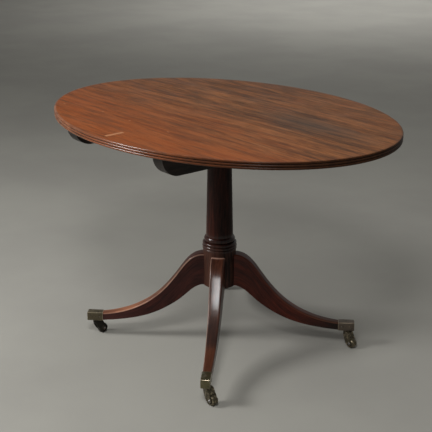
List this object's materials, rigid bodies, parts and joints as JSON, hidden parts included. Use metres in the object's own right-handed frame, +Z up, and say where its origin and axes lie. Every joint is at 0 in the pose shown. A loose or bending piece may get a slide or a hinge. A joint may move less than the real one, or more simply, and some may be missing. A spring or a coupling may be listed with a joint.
{
  "type": "tilt-top breakfast table",
  "caption": "Oval tilt-top breakfast table with a reeded edge, on a turned column with sabre legs, brass toe caps and casters.",
  "frame": {"origin": "on the floor, straight below the column's axis", "axes": "+X along the oval's long axis, +Y along its short axis towards the pivots, +Z up"},
  "size_m": [1.158, 0.853, 0.72],
  "materials": {
    "top_mahogany": "waxed, semi-gloss",
    "base_mahogany": "dark, waxed, glossy",
    "under_mahogany": "bare, dull",
    "brass": "aged, dull",
    "steel": "aged, dull",
    "iron": "black, forged"
  },
  "bodies": {
    "base": {"block": "under_mahogany", "column": "base_mahogany", "tenon_wedges": "under_mahogany", "strap_plate": "iron", "strap_screws": "steel", "cap_pins": "brass", "keeper_plate": "brass", "keeper_screws": "brass", "leg_right_back": "base_mahogany", "leg_left_back": "base_mahogany", "leg_left_front": "base_mahogany", "leg_right_front": "base_mahogany", "toe_cap_right_back": "brass", "toe_cap_left_back": "brass", "toe_cap_left_front": "brass", "toe_cap_right_front": "brass", "caster_stem_right_back": "steel", "caster_stem_left_back": "steel", "caster_stem_left_front": "steel", "caster_stem_right_front": "steel"},
    "top": {"top_board_front": "top_mahogany", "top_board_middle": "top_mahogany", "top_board_back": "top_mahogany", "bearer_left": "under_mahogany", "bearer_right": "under_mahogany", "bearer_screws": "steel", "pivot_pin_left": "steel", "pivot_pin_right": "steel", "catch_case": "brass", "catch_leaf": "brass", "catch_screws": "brass"},
    "catch_bolt": {"catch_bolt": "brass"},
    "caster_right_back": {"caster_horn_right_back": "brass", "caster_axle_right_back": "steel"},
    "wheel_right_back": {"caster_wheel_right_back": "brass"},
    "caster_left_back": {"caster_horn_left_back": "brass", "caster_axle_left_back": "steel"},
    "wheel_left_back": {"caster_wheel_left_back": "brass"},
    "caster_left_front": {"caster_horn_left_front": "brass", "caster_axle_left_front": "steel"},
    "wheel_left_front": {"caster_wheel_left_front": "brass"},
    "caster_right_front": {"caster_horn_right_front": "brass", "caster_axle_right_front": "steel"},
    "wheel_right_front": {"caster_wheel_right_front": "brass"}
  },
  "joints": [
    {"name": "top_tilt", "type": "hinge", "parent": "base", "child": "top", "pos_m": [0, 0.0975, 0.6762], "axis": [-1, 0, 0], "range_deg": [0, 90]},
    {"name": "catch_slide", "type": "slide", "parent": "top", "child": "catch_bolt", "axis": [0, 1, 0], "range_m": [0, 0.01]},
    {"name": "caster_swivel_right_back", "type": "hinge", "parent": "base", "child": "caster_right_back", "pos_m": [0.27507, 0.27507, 0.048], "axis": [0, 0, 1], "continuous": true},
    {"name": "wheel_roll_right_back", "type": "hinge", "parent": "caster_right_back", "child": "wheel_right_back", "pos_m": [0.30007, 0.27507, 0.0155], "axis": [0, 1, 0], "continuous": true},
    {"name": "caster_swivel_left_back", "type": "hinge", "parent": "base", "child": "caster_left_back", "pos_m": [-0.27507, 0.27507, 0.048], "axis": [0, 0, 1], "continuous": true},
    {"name": "wheel_roll_left_back", "type": "hinge", "parent": "caster_left_back", "child": "wheel_left_back", "pos_m": [-0.29856, 0.26651, 0.0155], "axis": [0.342, -0.9397, 0], "continuous": true},
    {"name": "caster_swivel_left_front", "type": "hinge", "parent": "base", "child": "caster_left_front", "pos_m": [-0.27507, -0.27507, 0.048], "axis": [0, 0, 1], "continuous": true},
    {"name": "wheel_roll_left_front", "type": "hinge", "parent": "caster_left_front", "child": "wheel_left_front", "pos_m": [-0.27768, -0.2502, 0.0155], "axis": [-0.9945, -0.1045, 0], "continuous": true},
    {"name": "caster_swivel_right_front", "type": "hinge", "parent": "base", "child": "caster_right_front", "pos_m": [0.27507, -0.27507, 0.048], "axis": [0, 0, 1], "continuous": true},
    {"name": "wheel_roll_right_front", "type": "hinge", "parent": "caster_right_front", "child": "wheel_right_front", "pos_m": [0.3, -0.27332, 0.0155], "axis": [-0.0698, 0.9976, 0], "continuous": true}
  ]
}
